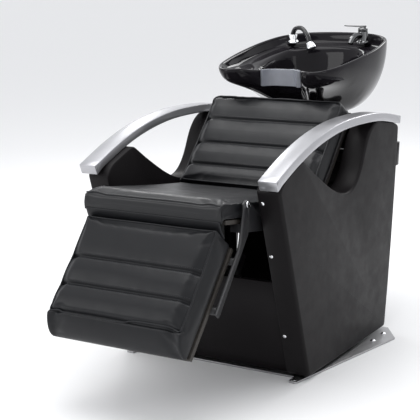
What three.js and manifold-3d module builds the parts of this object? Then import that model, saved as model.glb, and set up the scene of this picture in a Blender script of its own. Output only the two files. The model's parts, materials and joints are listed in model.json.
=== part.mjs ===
// Shampoo backwash unit: a reclined salon seat with a motor-lifted legrest, arched metal armrests,
// upholstered side panels and a tilting ceramic basin behind the backrest.
// Millimetres, +Z up, +X to the sitter's left hand when seen from the front, -Y towards the legrest.
import * as THREE from "three";
import { mergeVertices } from "three/addons/utils/BufferGeometryUtils.js";
import Module from "manifold-3d";

const wasm = await Module();
wasm.setup();

// ---- driving dimensions ----
const GAP = 0.4; // clearance between pieces that touch
const HALF_WIDTH = 325; // outer face of a side panel
const PANEL_THICK = 74;
const PANEL_BOTTOM = 12;
const PLATE_THICK = 6;

const SEAT_FRONT = { y: -115, z: 586 }; // top of the seat's front edge
const SEAT_BACK = { y: 372, z: 510 }; // where seat and backrest meet
const SEAT_HALF_WIDTH = 229.5;
const SEAT_CUSHION = 50;
const SEAT_BOARD = 12;
const BACK_TOP = { y: 618, z: 774 };
const BACK_HALF_WIDTH = 243;
const BACK_CUSHION = 68;
const BACK_BOARD = 14;

const HINGE = { y: -4, z: 560 }; // legrest pivot
const REST_ANGLE = 48; // degrees the legrest hangs below level at rest
const PAD_HALF_WIDTH = 229;
const PAD_TOP = 54; // pad surface above the pivot, across the pad
const PAD_START = 106;
const PAD_END = 415;
const PAD_TOE = 465; // the toe face runs out to here at the underside
const PAD_CUSHION = 82;
const PAD_BOARD = 14;
const LIP_RADIUS = 113.5; // the seat's nose, round the legrest pivot
const LIP = { end: 202, inner: 99.5 }; // degrees the nose runs round to, and its inside radius
const AXLE = { pin: 6, bore: 6.3 }; // radii of the pins and of the holes they turn in

const ACTUATOR_FOOT = { y: 330, z: 240 };
const LEVER_RADIUS = 90;
const LEVER_ANGLE = 88;
const ROD_RADIUS = 10;
const TUBE_RADIUS = 18;

const BOWL = { y: 808, z: 893, tilt: 8, bottom: 688, bottomY: 880 };
const BOWL_WALL = 13;
const TILT_PIVOT = { y: 832, z: 640 };
const DECK_DROP = 33; // the ledge inside the rim, below the rim
const MIXER = { x: 104, y: 1040 };
const SHOWER = { x: -152, y: 1016 };
const STEPS = 32; // facets of a round piece

// ---- materials ----
const finish = (color, roughness, metalness = 0) =>
  new THREE.MeshStandardMaterial({ color, roughness, metalness });
const LEATHER = finish(0x232326, 0.45);
const PANEL = finish(0x1f1d1f, 0.5);
const SILVER = finish(0xbcbdc2, 0.35, 0.8);
const STAINLESS = finish(0xb9bbbd, 0.2, 1);
const CHROME = finish(0xe6e7ea, 0.08, 1);
const CERAMIC = finish(0x0b0a0c, 0.06);
const GEL = finish(0x8e9299, 0.3);
const STEEL = finish(0x2c2d30, 0.55, 0.4);
const PLYWOOD = finish(0x2b2724, 0.7);
const PLASTIC = finish(0x18191b, 0.5);

// ---- helpers ----
const rad = THREE.MathUtils.degToRad;

function solidOf(geometry) {
  const bare = geometry.clone();
  bare.deleteAttribute("normal");
  bare.deleteAttribute("uv");
  const merged = mergeVertices(bare, 1e-4);
  return new wasm.Manifold(
    new wasm.Mesh({
      numProp: 3,
      vertProperties: new Float32Array(merged.attributes.position.array),
      triVerts: new Uint32Array(merged.index.array),
    }),
  );
}

function geometryOf(solid) {
  const mesh = solid.getMesh();
  const geometry = new THREE.BufferGeometry();
  geometry.setAttribute("position", new THREE.BufferAttribute(mesh.vertProperties, 3));
  geometry.setIndex(new THREE.BufferAttribute(mesh.triVerts, 1));
  geometry.computeVertexNormals();
  return geometry;
}

const join = (...parts) => geometryOf(parts.map(solidOf).reduce((a, b) => a.add(b)));
const cut = (body, ...tools) =>
  geometryOf(tools.map(solidOf).reduce((a, b) => a.subtract(b), solidOf(body)));

const unit = new THREE.Group();

function add(name, geometry, material) {
  const mesh = new THREE.Mesh(geometry, material);
  mesh.name = name;
  unit.add(mesh);
}

// One copy on each side of the unit; `make` takes the side, -1 or 1.
function addPair(name, make, material) {
  add(`${name}_left`, make(-1), material);
  add(`${name}_right`, make(1), material);
}

const box = ([x0, x1], [y0, y1], [z0, z1]) =>
  new THREE.BoxGeometry(x1 - x0, y1 - y0, z1 - z0).translate(
    (x0 + x1) / 2,
    (y0 + y1) / 2,
    (z0 + z1) / 2,
  );

const span = (side, inner, outer) => (side < 0 ? [-outer, -inner] : [inner, outer]);

// A side-view outline in (y, z), drawn across the unit from x0 to x1.
const SIDE_VIEW = new THREE.Matrix4().makeBasis(
  new THREE.Vector3(0, 1, 0),
  new THREE.Vector3(0, 0, 1),
  new THREE.Vector3(1, 0, 0),
);

function across(shape, [x0, x1], soften = 0, curveSegments = 8) {
  const options = {
    depth: x1 - x0 - 2 * soften,
    bevelEnabled: soften > 0,
    bevelThickness: soften,
    bevelSize: soften,
    bevelOffset: -soften,
    bevelSegments: 2,
    curveSegments,
  };
  const geometry = new THREE.ExtrudeGeometry(shape, options).translate(0, 0, soften);
  return geometry.applyMatrix4(SIDE_VIEW).translate(x0, 0, 0);
}

const polygon = (...points) => new THREE.Shape(points.map(([y, z]) => new THREE.Vector2(y, z)));

const discX = (y, z, radius, [x0, x1], steps = STEPS) =>
  new THREE.CylinderGeometry(radius, radius, x1 - x0, steps)
    .rotateZ(Math.PI / 2)
    .translate((x0 + x1) / 2, y, z);

const discZ = (x, y, radius, [z0, z1], steps = STEPS) =>
  new THREE.CylinderGeometry(radius, radius, z1 - z0, steps)
    .rotateX(Math.PI / 2)
    .translate(x, y, (z0 + z1) / 2);

// Profile of (radius, height) pairs turned about +Z.
const turned = (profile, steps = STEPS) =>
  new THREE.LatheGeometry(
    profile.map(([r, h]) => new THREE.Vector2(r, h)),
    steps,
  ).rotateX(Math.PI / 2);

const mix = (a, b, t) => a + (b - a) * t;

// ---- floor plate and welded steel frame ----
const SIDE_INNER = HALF_WIDTH - PANEL_THICK;
const RAIL = { inner: 210, outer: SIDE_INNER - GAP, y0: 215, y1: 712, height: 40 };
const railTop = PLATE_THICK + GAP + RAIL.height;

function floorPlate() {
  const half = [
    [272, 196],
    [276, 156],
    [300, 156],
    [394, 654],
    [334, 738],
  ];
  const mirrored = half.map(([x, y]) => [-x, y]).reverse();
  const outline = polygon(...half, ...mirrored);
  return new THREE.ExtrudeGeometry(outline, { depth: PLATE_THICK, bevelEnabled: false });
}
add("base_plate", floorPlate(), STAINLESS);

addPair(
  "chassis_rail",
  (side) => box(span(side, RAIL.inner, RAIL.outer), [RAIL.y0, RAIL.y1], [PLATE_THICK + GAP, railTop]),
  STEEL,
);
const CROSSBAR = { y0: 225, y1: 265, reach: RAIL.inner - GAP };
add(
  "chassis_crossbar",
  box([-CROSSBAR.reach, CROSSBAR.reach], [CROSSBAR.y0, CROSSBAR.y1], [PLATE_THICK + GAP, railTop]),
  STEEL,
);

// The seat plane, its length direction and its normal.
const seatSlope = Math.atan2(SEAT_FRONT.z - SEAT_BACK.z, SEAT_BACK.y - SEAT_FRONT.y);
const seatZ = (y, depth = 0) =>
  SEAT_FRONT.z - (y - SEAT_FRONT.y) * Math.tan(seatSlope) - depth / Math.cos(seatSlope);

const BEARER = { inner: 203, outer: 231.6, height: 24, y0: -30, y1: 385 };
const bearerTop = SEAT_CUSHION + SEAT_BOARD + 2 * GAP;
const bearerFoot = bearerTop + BEARER.height;
addPair(
  "seat_bearer",
  (side) =>
    across(
      polygon(
        [BEARER.y0, seatZ(BEARER.y0, bearerFoot)],
        [BEARER.y1, seatZ(BEARER.y1, bearerFoot)],
        [BEARER.y1, seatZ(BEARER.y1, bearerTop)],
        [BEARER.y0, seatZ(BEARER.y0, bearerTop)],
      ),
      span(side, BEARER.inner, BEARER.outer),
    ),
  STEEL,
);

const POST = { inner: 214, outer: 240 };
const FRONT_POST = { y0: 226, y1: 262 };
addPair(
  "frame_post_front",
  (side) =>
    across(
      polygon(
        [FRONT_POST.y0, railTop + GAP],
        [FRONT_POST.y1, railTop + GAP],
        [FRONT_POST.y1, seatZ(FRONT_POST.y1, bearerFoot) - GAP],
        [FRONT_POST.y0, seatZ(FRONT_POST.y0, bearerFoot) - GAP],
      ),
      span(side, POST.inner, POST.outer),
    ),
  STEEL,
);

// ---- backrest plane ----
const backLength = Math.hypot(BACK_TOP.y - SEAT_BACK.y, BACK_TOP.z - SEAT_BACK.z);
const backDir = {
  y: (BACK_TOP.y - SEAT_BACK.y) / backLength,
  z: (BACK_TOP.z - SEAT_BACK.z) / backLength,
};
const backPoint = (along, behind) => [
  SEAT_BACK.y + along * backDir.y + behind * backDir.z,
  SEAT_BACK.z + along * backDir.z - behind * backDir.y,
];

const REAR_POST = { y0: 664, y1: 700, top: 560, beam: 600 };
addPair(
  "frame_post_rear",
  (side) =>
    box(
      span(side, POST.inner, POST.outer),
      [REAR_POST.y0, REAR_POST.y1],
      [railTop + GAP, REAR_POST.top],
    ),
  STEEL,
);
add(
  "rear_beam",
  box([-POST.outer, POST.outer], [REAR_POST.y0, REAR_POST.y1], [REAR_POST.top + GAP, REAR_POST.beam]),
  STEEL,
);

// ---- seat ----
const SEAT_PLY = { y0: -92, y1: SEAT_BACK.y + 18, inset: 4 };
const LEVER_NOTCH = { half: 36, y0: -140, y1: 118, z0: 420, z1: 600 }; // the lever swings through it
function seatBoard() {
  const { y0, y1, inset } = SEAT_PLY;
  const top = SEAT_CUSHION + GAP;
  const foot = top + SEAT_BOARD;
  const board = across(
    polygon([y0, seatZ(y0, foot)], [y1, seatZ(y1, foot)], [y1, seatZ(y1, top)], [y0, seatZ(y0, top)]),
    [-SEAT_HALF_WIDTH + inset, SEAT_HALF_WIDTH - inset],
  );
  const notch = LEVER_NOTCH;
  return cut(board, box([-notch.half, notch.half], [notch.y0, notch.y1], [notch.z0, notch.z1]));
}
add("seat_board", seatBoard(), PLYWOOD);

// Where a circle round the pivot meets the plane `depth` under the seat's surface, in front.
function frontMeeting(radius, depth) {
  let y = SEAT_FRONT.y;
  for (let pass = 0; pass < 4; pass++) {
    y = HINGE.y - Math.sqrt(radius ** 2 - (seatZ(y, depth) - HINGE.z) ** 2);
  }
  return y;
}
const noseFloor = (radius) => frontMeeting(radius, SEAT_CUSHION);
function noseAngle(depth) {
  const y = frontMeeting(LIP_RADIUS, depth);
  return Math.atan2(seatZ(y, depth) - HINGE.z, y - HINGE.y);
}

// The nose ends in a lip that hangs in front of the board and hides it behind the legrest's heel.
const NOSE = { edge: 14, round: 24, rear: 16, tuck: 3 };
function seatCushion() {
  const shape = new THREE.Shape();
  const start = noseAngle(NOSE.edge);
  const end = rad(LIP.end);
  const lip = { y: HINGE.y + LIP.inner * Math.cos(end), z: HINGE.z + LIP.inner * Math.sin(end) };
  const shoulder = noseFloor(LIP.inner);
  const rear = SEAT_BACK.y + NOSE.rear;
  shape.moveTo(SEAT_FRONT.y + NOSE.round, seatZ(SEAT_FRONT.y + NOSE.round));
  shape.lineTo(
    HINGE.y + LIP_RADIUS * Math.cos(start),
    HINGE.z + LIP_RADIUS * Math.sin(start),
  );
  shape.absarc(HINGE.y, HINGE.z, LIP_RADIUS, start, end, false);
  shape.lineTo(lip.y, lip.z);
  shape.lineTo(shoulder, seatZ(shoulder, SEAT_CUSHION));
  shape.lineTo(rear, seatZ(rear, SEAT_CUSHION));
  shape.lineTo(SEAT_BACK.y - NOSE.tuck, seatZ(SEAT_BACK.y - NOSE.tuck));
  return across(shape, [-SEAT_HALF_WIDTH, SEAT_HALF_WIDTH], 5, 3);
}
add("seat_cushion", seatCushion(), LEATHER);

// ---- backrest ----
const backSlab = (from, to, front, rear) =>
  polygon(
    backPoint(from, front),
    backPoint(from + 4, rear),
    backPoint(to, rear),
    backPoint(to, front),
  );
add(
  "back_cushion",
  across(
    backSlab(6, backLength, 0, BACK_CUSHION),
    [-BACK_HALF_WIDTH, BACK_HALF_WIDTH],
    8,
  ),
  LEATHER,
);
add(
  "back_board",
  across(
    backSlab(34, backLength - 10, BACK_CUSHION + GAP, BACK_CUSHION + GAP + BACK_BOARD),
    [-BACK_HALF_WIDTH + 6, BACK_HALF_WIDTH - 6],
  ),
  PLYWOOD,
);

// ---- side panels and armrests ----
// Centre line of the armrest's top face, from its front end to its rear end.
const ARM_CURVE = new THREE.CatmullRomCurve3(
  [
    [0, 626],
    [124, 674],
    [250, 709],
    [396, 730],
    [537, 732],
    [693, 721],
    [839, 692],
  ].map(([y, z]) => new THREE.Vector3(0, y, z)),
);
const ARM = { inner: 272, outer: 331, thick: 26, nose: 30, steps: 30 };

// A line `depth` under the armrest's top face, between two shares of its length.
function armLine(from, to, depth, steps) {
  return Array.from({ length: steps + 1 }, (_, i) => {
    const t = mix(from, to, i / steps);
    const at = ARM_CURVE.getPointAt(t);
    const along = ARM_CURVE.getTangentAt(t);
    const drop = t === 0 ? (depth * ARM.nose) / ARM.thick : depth;
    return [at.y + along.z * drop, at.z - along.y * drop];
  });
}

const armOutline = [...armLine(0, 1, ARM.thick, ARM.steps), ...armLine(0, 1, 0, ARM.steps).reverse()];
addPair(
  "armrest",
  (side) =>
    across(polygon(...armOutline), span(side, ARM.inner, ARM.outer), 2),
  SILVER,
);

function panelOutline() {
  const under = armLine(0.06, 0.2, ARM.thick + GAP, 4);
  const rear = armLine(0.8, 0.99, ARM.thick + GAP, 4);
  const shape = new THREE.Shape();
  shape.moveTo(192, PANEL_BOTTOM);
  shape.lineTo(733, PANEL_BOTTOM);
  shape.quadraticCurveTo(800, 330, 838, 664);
  rear.reverse().forEach(([y, z]) => shape.lineTo(y, z));
  shape.bezierCurveTo(618, 690, 588, 650, 568, 606);
  shape.bezierCurveTo(540, 548, 505, 508, 446, 512);
  shape.bezierCurveTo(380, 518, 300, 572, 232, 616);
  under.reverse().forEach(([y, z]) => shape.lineTo(y, z));
  shape.lineTo(30, 592);
  return shape;
}
addPair(
  "side_panel",
  (side) => across(panelOutline(), span(side, SIDE_INNER, HALF_WIDTH), 8, 6),
  PANEL,
);

const panelFrontY = (z) => 192 - ((z - PANEL_BOTTOM) * 162) / 580;

// ---- kick panel, rear stretcher and service door ----
const KICK = { top: 305, back: 16, thick: 18 };
function kickPanel() {
  const front = (z) => panelFrontY(z) + KICK.back;
  const low = PANEL_BOTTOM;
  return across(
    polygon(
      [front(low), low],
      [front(low) + KICK.thick, low],
      [front(KICK.top) + KICK.thick, KICK.top],
      [front(KICK.top), KICK.top],
    ),
    [-SIDE_INNER + GAP, SIDE_INNER - GAP],
    3,
  );
}
add("kick_panel", cut(kickPanel(), box([-260, 260], [RAIL.y0 - 1, RAIL.y1], [0, railTop + GAP])), PANEL);

const rearEdgeY = (z) => {
  const t = (z - PANEL_BOTTOM) / (664 - PANEL_BOTTOM);
  return (1 - t) ** 2 * 733 + 2 * t * (1 - t) * 800 + t ** 2 * 838;
};
function rearBar(z0, z1, halfWidth, thick, proud) {
  return across(
    polygon(
      [rearEdgeY(z0) + proud, z0],
      [rearEdgeY(z0) + proud + thick, z0],
      [rearEdgeY(z1) + proud + thick, z1],
      [rearEdgeY(z1) + proud, z1],
    ),
    [-halfWidth, halfWidth],
    2,
  );
}
add("rear_stretcher", rearBar(530, 605, HALF_WIDTH - 2, 18, 1.5), PANEL);

const DOOR = { z0: 54, z1: 500, half: 236, thick: 16, inset: -22, hingeUp: 10, bore: 4.6, rod: 4.2 };
const doorHinge = {
  y: rearEdgeY(DOOR.z0 + DOOR.hingeUp) + DOOR.inset + DOOR.thick / 2,
  z: DOOR.z0 + DOOR.hingeUp,
};
add(
  "service_door",
  cut(
    rearBar(DOOR.z0, DOOR.z1, DOOR.half, DOOR.thick, DOOR.inset),
    discX(doorHinge.y, doorHinge.z, DOOR.bore, [-DOOR.half - 5, DOOR.half + 5], 20),
  ),
  PANEL,
);
const pinReach = SIDE_INNER - GAP;
add("door_hinge_rod", discX(doorHinge.y, doorHinge.z, DOOR.rod, [-pinReach, pinReach], 20), STEEL);

const LATCH_Z = DOOR.z1 - 40;
const latchY = rearEdgeY(LATCH_Z) + DOOR.inset + DOOR.thick;
function doorLatch() {
  const knob = discZ(0, 0, 17, [3, 11], 24);
  const grip = box([-4, 4], [-15, 15], [8, 24]);
  return join(knob, grip).rotateX(-Math.PI / 2).translate(0, latchY, LATCH_Z);
}
add("door_latch", doorLatch(), CHROME);
add("power_inlet", box([96, 150], [RAIL.y1 - 36, RAIL.y1 + 4], [PLATE_THICK + GAP, 42]), PLASTIC);

// ---- legrest, drawn in its own (along, out) axes round the pivot ----
const legDir = { y: -Math.cos(rad(REST_ANGLE)), z: -Math.sin(rad(REST_ANGLE)) };
const legPoint = (along, out) => [
  HINGE.y + along * legDir.y + out * legDir.z,
  HINGE.z + along * legDir.z - out * legDir.y,
];
const arcPoint = (radius, out) => legPoint(Math.sqrt(radius ** 2 - out ** 2), out);
const INNER_RADIUS = Math.hypot(PAD_START, PAD_TOP);

const PAD_BOTTOM = PAD_TOP - PAD_CUSHION;
function padCushion() {
  const toe = new THREE.QuadraticBezierCurve(
    new THREE.Vector2(...legPoint(PAD_TOE - 6, PAD_BOTTOM)),
    new THREE.Vector2(...legPoint(PAD_TOE + 10, PAD_BOTTOM + PAD_CUSHION / 2)),
    new THREE.Vector2(...legPoint(PAD_END, PAD_TOP)),
  );
  const heel = [PAD_TOP, 30, 6, PAD_BOTTOM].map((out) => arcPoint(INNER_RADIUS, out));
  return across(
    polygon(...toe.getPoints(8).map((p) => [p.x, p.y]), ...heel),
    [-PAD_HALF_WIDTH, PAD_HALF_WIDTH],
    8,
  );
}
add("legrest_cushion", padCushion(), LEATHER);

const boardTop = PAD_BOTTOM - GAP;
const boardFoot = boardTop - PAD_BOARD;
add(
  "legrest_board",
  across(
    polygon(
      legPoint(PAD_START + 16, boardFoot),
      legPoint(PAD_START + 16, boardTop),
      legPoint(PAD_TOE - 10, boardTop),
      legPoint(PAD_TOE - 10, boardFoot),
    ),
    [-PAD_HALF_WIDTH + 4, PAD_HALF_WIDTH - 4],
  ),
  PLYWOOD,
);

const CROSS_TUBE = 11;
const tubeOut = boardFoot - GAP - CROSS_TUBE;
const CROSS_TUBES = { upper: 150, lower: 300 };
const ARM_PLATE = { inner: 238, outer: 242.5 };
for (const [place, along] of Object.entries(CROSS_TUBES)) {
  const [y, z] = legPoint(along, tubeOut);
  const reach = ARM_PLATE.inner - GAP;
  add(`legrest_crosstube_${place}`, discX(y, z, CROSS_TUBE, [-reach, reach], 20), STEEL);
}

function liftArm(side) {
  const plate = across(
    polygon(
      legPoint(-12, 4),
      legPoint(-8, -12),
      legPoint(60, tubeOut - 4),
      legPoint(CROSS_TUBES.lower + 14, tubeOut - 12),
      legPoint(CROSS_TUBES.lower + 14, tubeOut + 12),
      legPoint(CROSS_TUBES.upper - 30, tubeOut + 16),
      legPoint(14, 10),
      legPoint(0, 13),
    ),
    span(side, ARM_PLATE.inner, ARM_PLATE.outer),
  );
  return cut(plate, discX(HINGE.y, HINGE.z, AXLE.bore, span(side, 230, 250), 24));
}
addPair("legrest_arm", liftArm, STEEL);

function pivotPlate(side) {
  const foot = (y) => [y, seatZ(y, bearerFoot)];
  const head = (y) => [y, seatZ(y, bearerTop)];
  const plate = across(
    polygon(foot(-16), foot(110), head(110), [HINGE.y + 16, HINGE.z + 6], [HINGE.y, HINGE.z + 10],
      [HINGE.y - 12, HINGE.z + 2], [HINGE.y - 14, HINGE.z - 20]),
    span(side, BEARER.outer + GAP, ARM_PLATE.inner - GAP),
  );
  return cut(plate, discX(HINGE.y, HINGE.z, AXLE.bore, span(side, 225, 245), 24));
}
addPair("pivot_plate", pivotPlate, STEEL);

function pivotPin(side) {
  const shank = discX(HINGE.y, HINGE.z, AXLE.pin, span(side, BEARER.outer + GAP, 246.4), 24);
  const head = discX(HINGE.y, HINGE.z, 9.5, span(side, ARM_PLATE.outer + GAP, 247.5), 24);
  return join(shank, head);
}
addPair("pivot_pin", pivotPin, CHROME);

// ---- lift lever with its lost-motion slot ----
const leverPoint = (radius, degrees) => [
  HINGE.y - radius * Math.cos(rad(degrees)),
  HINGE.z - radius * Math.sin(rad(degrees)),
];
// The slot as seen from the legrest: radius from the pivot, and sideways off the lever's line.
const SLOT = { open: 80, end: 133, low: -17, high: 9, wall: 7 };
function liftLever() {
  const [tubeY, tubeZ] = legPoint(CROSS_TUBES.upper, tubeOut);
  const down = { y: -Math.cos(rad(LEVER_ANGLE)), z: -Math.sin(rad(LEVER_ANGLE)) };
  const at = (radius, sideways) => [
    HINGE.y + radius * down.y - sideways * down.z,
    HINGE.z + radius * down.z + sideways * down.y,
  ];
  const low = SLOT.low - SLOT.wall;
  const high = SLOT.high + SLOT.wall;
  const plate = across(
    polygon(
      at(SLOT.open, high),
      at(SLOT.open, low),
      at(LIP_RADIUS + 2, low),
      legPoint(PAD_START + 14, boardFoot - GAP),
      legPoint(CROSS_TUBES.upper + 16, boardFoot - GAP),
      legPoint(CROSS_TUBES.upper + 18, tubeOut - 6),
      legPoint(CROSS_TUBES.upper + 8, tubeOut - CROSS_TUBE - 7),
      at(SLOT.end + SLOT.wall, SLOT.low),
      at(SLOT.end + SLOT.wall, SLOT.high),
      at(SLOT.end - SLOT.wall, high),
    ),
    [-4, 4],
  );
  const slot = across(
    polygon(
      at(SLOT.open - 10, SLOT.high),
      at(SLOT.open - 10, SLOT.low),
      at(SLOT.end - 5, SLOT.low),
      at(SLOT.end, SLOT.low + 6),
      at(SLOT.end, SLOT.high - 6),
      at(SLOT.end - 5, SLOT.high),
    ),
    [-6, 6],
  );
  return cut(plate, slot, discX(tubeY, tubeZ, CROSS_TUBE + GAP, [-6, 6], 20));
}
add("lift_lever", liftLever(), STEEL);

// ---- linear actuator, drawn along +Z and then laid on its line ----
const [pinY, pinZ] = leverPoint(LEVER_RADIUS, LEVER_ANGLE);
const strokeLength = Math.hypot(pinY - ACTUATOR_FOOT.y, pinZ - ACTUATOR_FOOT.z);
const lean = Math.atan2(ACTUATOR_FOOT.y - pinY, pinZ - ACTUATOR_FOOT.z);
const layActuator = (geometry) =>
  geometry.rotateX(lean).translate(0, ACTUATOR_FOOT.y, ACTUATOR_FOOT.z);

const TUBE_END = 286;
const actuatorTube = turned([
  [ROD_RADIUS + 0.6, 62],
  [TUBE_RADIUS, 62],
  [TUBE_RADIUS, TUBE_END],
  [ROD_RADIUS + 0.6, TUBE_END],
  [ROD_RADIUS + 0.6, 62],
]);
add("actuator_tube", layActuator(actuatorTube), STAINLESS);

function gearbox() {
  const housing = box([-26, 26], [-24, 66], [18, 61.6]);
  const eye = box([-9, 9], [-14, 14], [-14, 20]);
  return cut(join(housing, eye), discX(0, 0, AXLE.bore, [-12, 12], 24));
}
add("actuator_gearbox", layActuator(gearbox()), PLASTIC);
add("actuator_motor", layActuator(discZ(0, 44, 21, [62, 168])), PLASTIC);

function actuatorRod() {
  const shaft = discZ(0, 0, ROD_RADIUS, [140, strokeLength - 42], 24);
  const fork = box([-13, 13], [-12, 12], [strokeLength - 48, strokeLength + 12]);
  const slot = box([-5, 5], [-20, 20], [strokeLength - 38, strokeLength + 20]);
  return join(cut(fork, slot), shaft);
}
const forkBore = discX(0, strokeLength, 5.3, [-20, 20], 20);
add("actuator_rod", layActuator(cut(actuatorRod(), forkBore)), CHROME);
add("actuator_rod_pin", layActuator(discX(0, strokeLength, 5, [-16, 16], 20)), CHROME);

const FOOT_EARS = { inner: 9.6, outer: 15 };
function actuatorBracket() {
  const { y, z } = ACTUATOR_FOOT;
  const ear = (side) =>
    across(
      polygon([y - 14, z + 8], [y, z + 15], [y + 14, z + 8], [y + 20, z - 40], [y - 20, z - 40]),
      span(side, FOOT_EARS.inner, FOOT_EARS.outer),
    );
  const sole = box([-30, 30], [y - 20, y + 20], [z - 44, z - 38]);
  return cut(join(ear(-1), ear(1), sole), discX(y, z, AXLE.bore, [-20, 20], 24));
}
add("actuator_bracket", actuatorBracket(), STEEL);
add("actuator_pivot_pin", discX(ACTUATOR_FOOT.y, ACTUATOR_FOOT.z, AXLE.pin, [-18, 18], 24), CHROME);

const BRACKET_BEAM = { z1: ACTUATOR_FOOT.z - 44 - GAP, z0: ACTUATOR_FOOT.z - 80 };
add(
  "actuator_beam",
  box([-SIDE_INNER + GAP, SIDE_INNER - GAP], [ACTUATOR_FOOT.y - 20, ACTUATOR_FOOT.y + 20], [
    BRACKET_BEAM.z0,
    BRACKET_BEAM.z1,
  ]),
  STEEL,
);

// ---- power supply box ----
add("power_supply", box([-150, -40], [430, 560], [PLATE_THICK + GAP, 76]), PLASTIC);

// ---- tilting basin ----
// Half outline of the rim from the neck notch to the rear, as (x, y) on the rim plane.
const RIM = [
  [0, 676],
  [44, 674],
  [70, 648],
  [92, 592],
  [124, 552],
  [166, 548],
  [206, 596],
  [227, 690],
  [235, 808],
  [229, 926],
  [202, 1020],
  [142, 1072],
  [66, 1092],
];
const rimCurve = new THREE.CatmullRomCurve3(
  [...RIM, [0, 1096], ...RIM.slice(1).reverse().map(([x, y]) => [-x, y])].map(
    ([x, y]) => new THREE.Vector3(x, y, 0),
  ),
  true,
  "centripetal",
);
const RIM_STEPS = 84;
const smooth = (a, b, v) => THREE.MathUtils.smoothstep(v, a, b);
const rimTilt = Math.tan(rad(BOWL.tilt));

// Height of the rim: the plane tips forward, and the rim dips into the neck notch.
function rimHeight(x, y) {
  const inNotch = 1 - smooth(40, 118, Math.abs(x));
  const nearNotch = 1 - smooth(690, 720, y);
  return BOWL.z + (y - BOWL.y) * rimTilt - 40 * inNotch * nearNotch;
}

function rimFrame(i) {
  const t = i / RIM_STEPS;
  const at = rimCurve.getPointAt(t);
  const along = rimCurve.getTangentAt(t);
  return { x: at.x, y: at.y, inX: -along.y, inY: along.x, z: rimHeight(at.x, at.y) };
}

// How far down a wall is, as a share of the basin's depth, `along` its way in to the foot.
function outerDepth(along, rim) {
  const front = 1 - smooth(560, 860, rim.y);
  const round = Math.sqrt(1 - (1 - along) ** 2);
  const shallow = 0.25 * (1 - Math.exp(-along / 0.04)) + 0.75 * along ** 1.5;
  return mix(round, shallow, front);
}

// The inside drops to a ledge, runs along it and then rounds down into the basin.
const LEDGE = { start: 0.06, end: 0.46 };
function innerDepth(along, rim) {
  const total = rim.z - INNER_FOOT.z;
  const front = 1 - smooth(560, 760, rim.y);
  const drop = mix(DECK_DROP, 16, front) / total;
  const low = drop + 8 / total;
  if (along < LEDGE.start) return (drop * along) / LEDGE.start;
  if (along < LEDGE.end) return mix(drop, low, (along - LEDGE.start) / (LEDGE.end - LEDGE.start));
  const t = (along - LEDGE.end) / (1 - LEDGE.end);
  return mix(low, 1, Math.sqrt(1 - (1 - t) ** 2));
}

// A ring of the basin's wall, `along` from the rim (0) to the foot (1).
function bowlRing(foot, along, inset, drop, depthAt) {
  const ring = [];
  for (let i = 0; i < RIM_STEPS; i++) {
    const rim = rimFrame(i);
    const x = rim.x + rim.inX * inset;
    const y = rim.y + rim.inY * inset;
    const angle = Math.atan2(y - foot.y, x);
    const footX = foot.radius * Math.cos(angle) * foot.wide;
    const footY = foot.y + foot.radius * Math.sin(angle);
    const z = mix(rim.z - drop, foot.z, depthAt(along, rim));
    ring.push([mix(x, footX, along), mix(y, footY, along), z]);
  }
  return ring;
}

// A closed surface through the rings, with the last ring joined back to the first.
function loftRings(rings) {
  const positions = rings.flat(2);
  const index = [];
  for (let r = 0; r < rings.length; r++) {
    const next = (r + 1) % rings.length;
    for (let i = 0; i < RIM_STEPS; i++) {
      const j = (i + 1) % RIM_STEPS;
      const [a, b] = [r * RIM_STEPS + i, r * RIM_STEPS + j];
      const [c, d] = [next * RIM_STEPS + i, next * RIM_STEPS + j];
      index.push(a, b, d, a, d, c);
    }
  }
  const geometry = new THREE.BufferGeometry();
  geometry.setAttribute("position", new THREE.BufferAttribute(new Float32Array(positions), 3));
  geometry.setIndex(index);
  return geometry;
}

const OUTER_FOOT = { y: BOWL.bottomY, radius: 92, wide: 1.15, z: BOWL.bottom };
const INNER_FOOT = { y: BOWL.bottomY, radius: 70, wide: 1.15, z: BOWL.bottom + BOWL_WALL };
const DRAIN_RADIUS = 32;
const drainRing = (z) =>
  Array.from({ length: RIM_STEPS }, (_, i) => {
    const rim = rimFrame(i);
    const angle = Math.atan2(rim.y - BOWL.bottomY, rim.x);
    return [
      DRAIN_RADIUS * Math.cos(angle),
      BOWL.bottomY + DRAIN_RADIUS * Math.sin(angle),
      z,
    ];
  });

function basin() {
  const outside = [0, 0.02, 0.07, 0.16, 0.3, 0.5, 0.75, 1];
  const inside = [0, 0.03, 0.06, 0.2, 0.34, 0.46, 0.49, 0.56, 0.7, 0.85, 1];
  const rimDepth = () => 0;
  const rings = [
    drainRing(BOWL.bottom),
    ...outside.reverse().map((t) => bowlRing(OUTER_FOOT, t, 0, 6, outerDepth)),
    bowlRing(OUTER_FOOT, 0, 2.5, 1, rimDepth),
    bowlRing(OUTER_FOOT, 0, BOWL_WALL / 2, 0, rimDepth),
    bowlRing(OUTER_FOOT, 0, BOWL_WALL - 2, 1, rimDepth),
    ...inside.map((t) => bowlRing(INNER_FOOT, t, BOWL_WALL, 6, innerDepth)),
    drainRing(BOWL.bottom + BOWL_WALL - 2),
  ];
  return loftRings(rings);
}
add("bowl", basin(), CERAMIC);

// Gel pad in the neck notch: a strip that follows the notch just outside the rim.
const NECK = { reach: 4, near: 1.5, far: 15, z0: 794, z1: 848 };
function neckRest() {
  const near = [];
  const far = [];
  for (let i = -NECK.reach; i <= NECK.reach; i++) {
    const rim = rimFrame((i + RIM_STEPS) % RIM_STEPS);
    near.push([rim.x - rim.inX * NECK.near, rim.y - rim.inY * NECK.near]);
    far.push([rim.x - rim.inX * NECK.far, rim.y - rim.inY * NECK.far]);
  }
  const depth = NECK.z1 - NECK.z0;
  return new THREE.ExtrudeGeometry(polygon(...near, ...far.reverse()), {
    depth,
    bevelEnabled: false,
  }).translate(0, 0, NECK.z0);
}
add("neck_rest", neckRest(), GEL);

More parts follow.
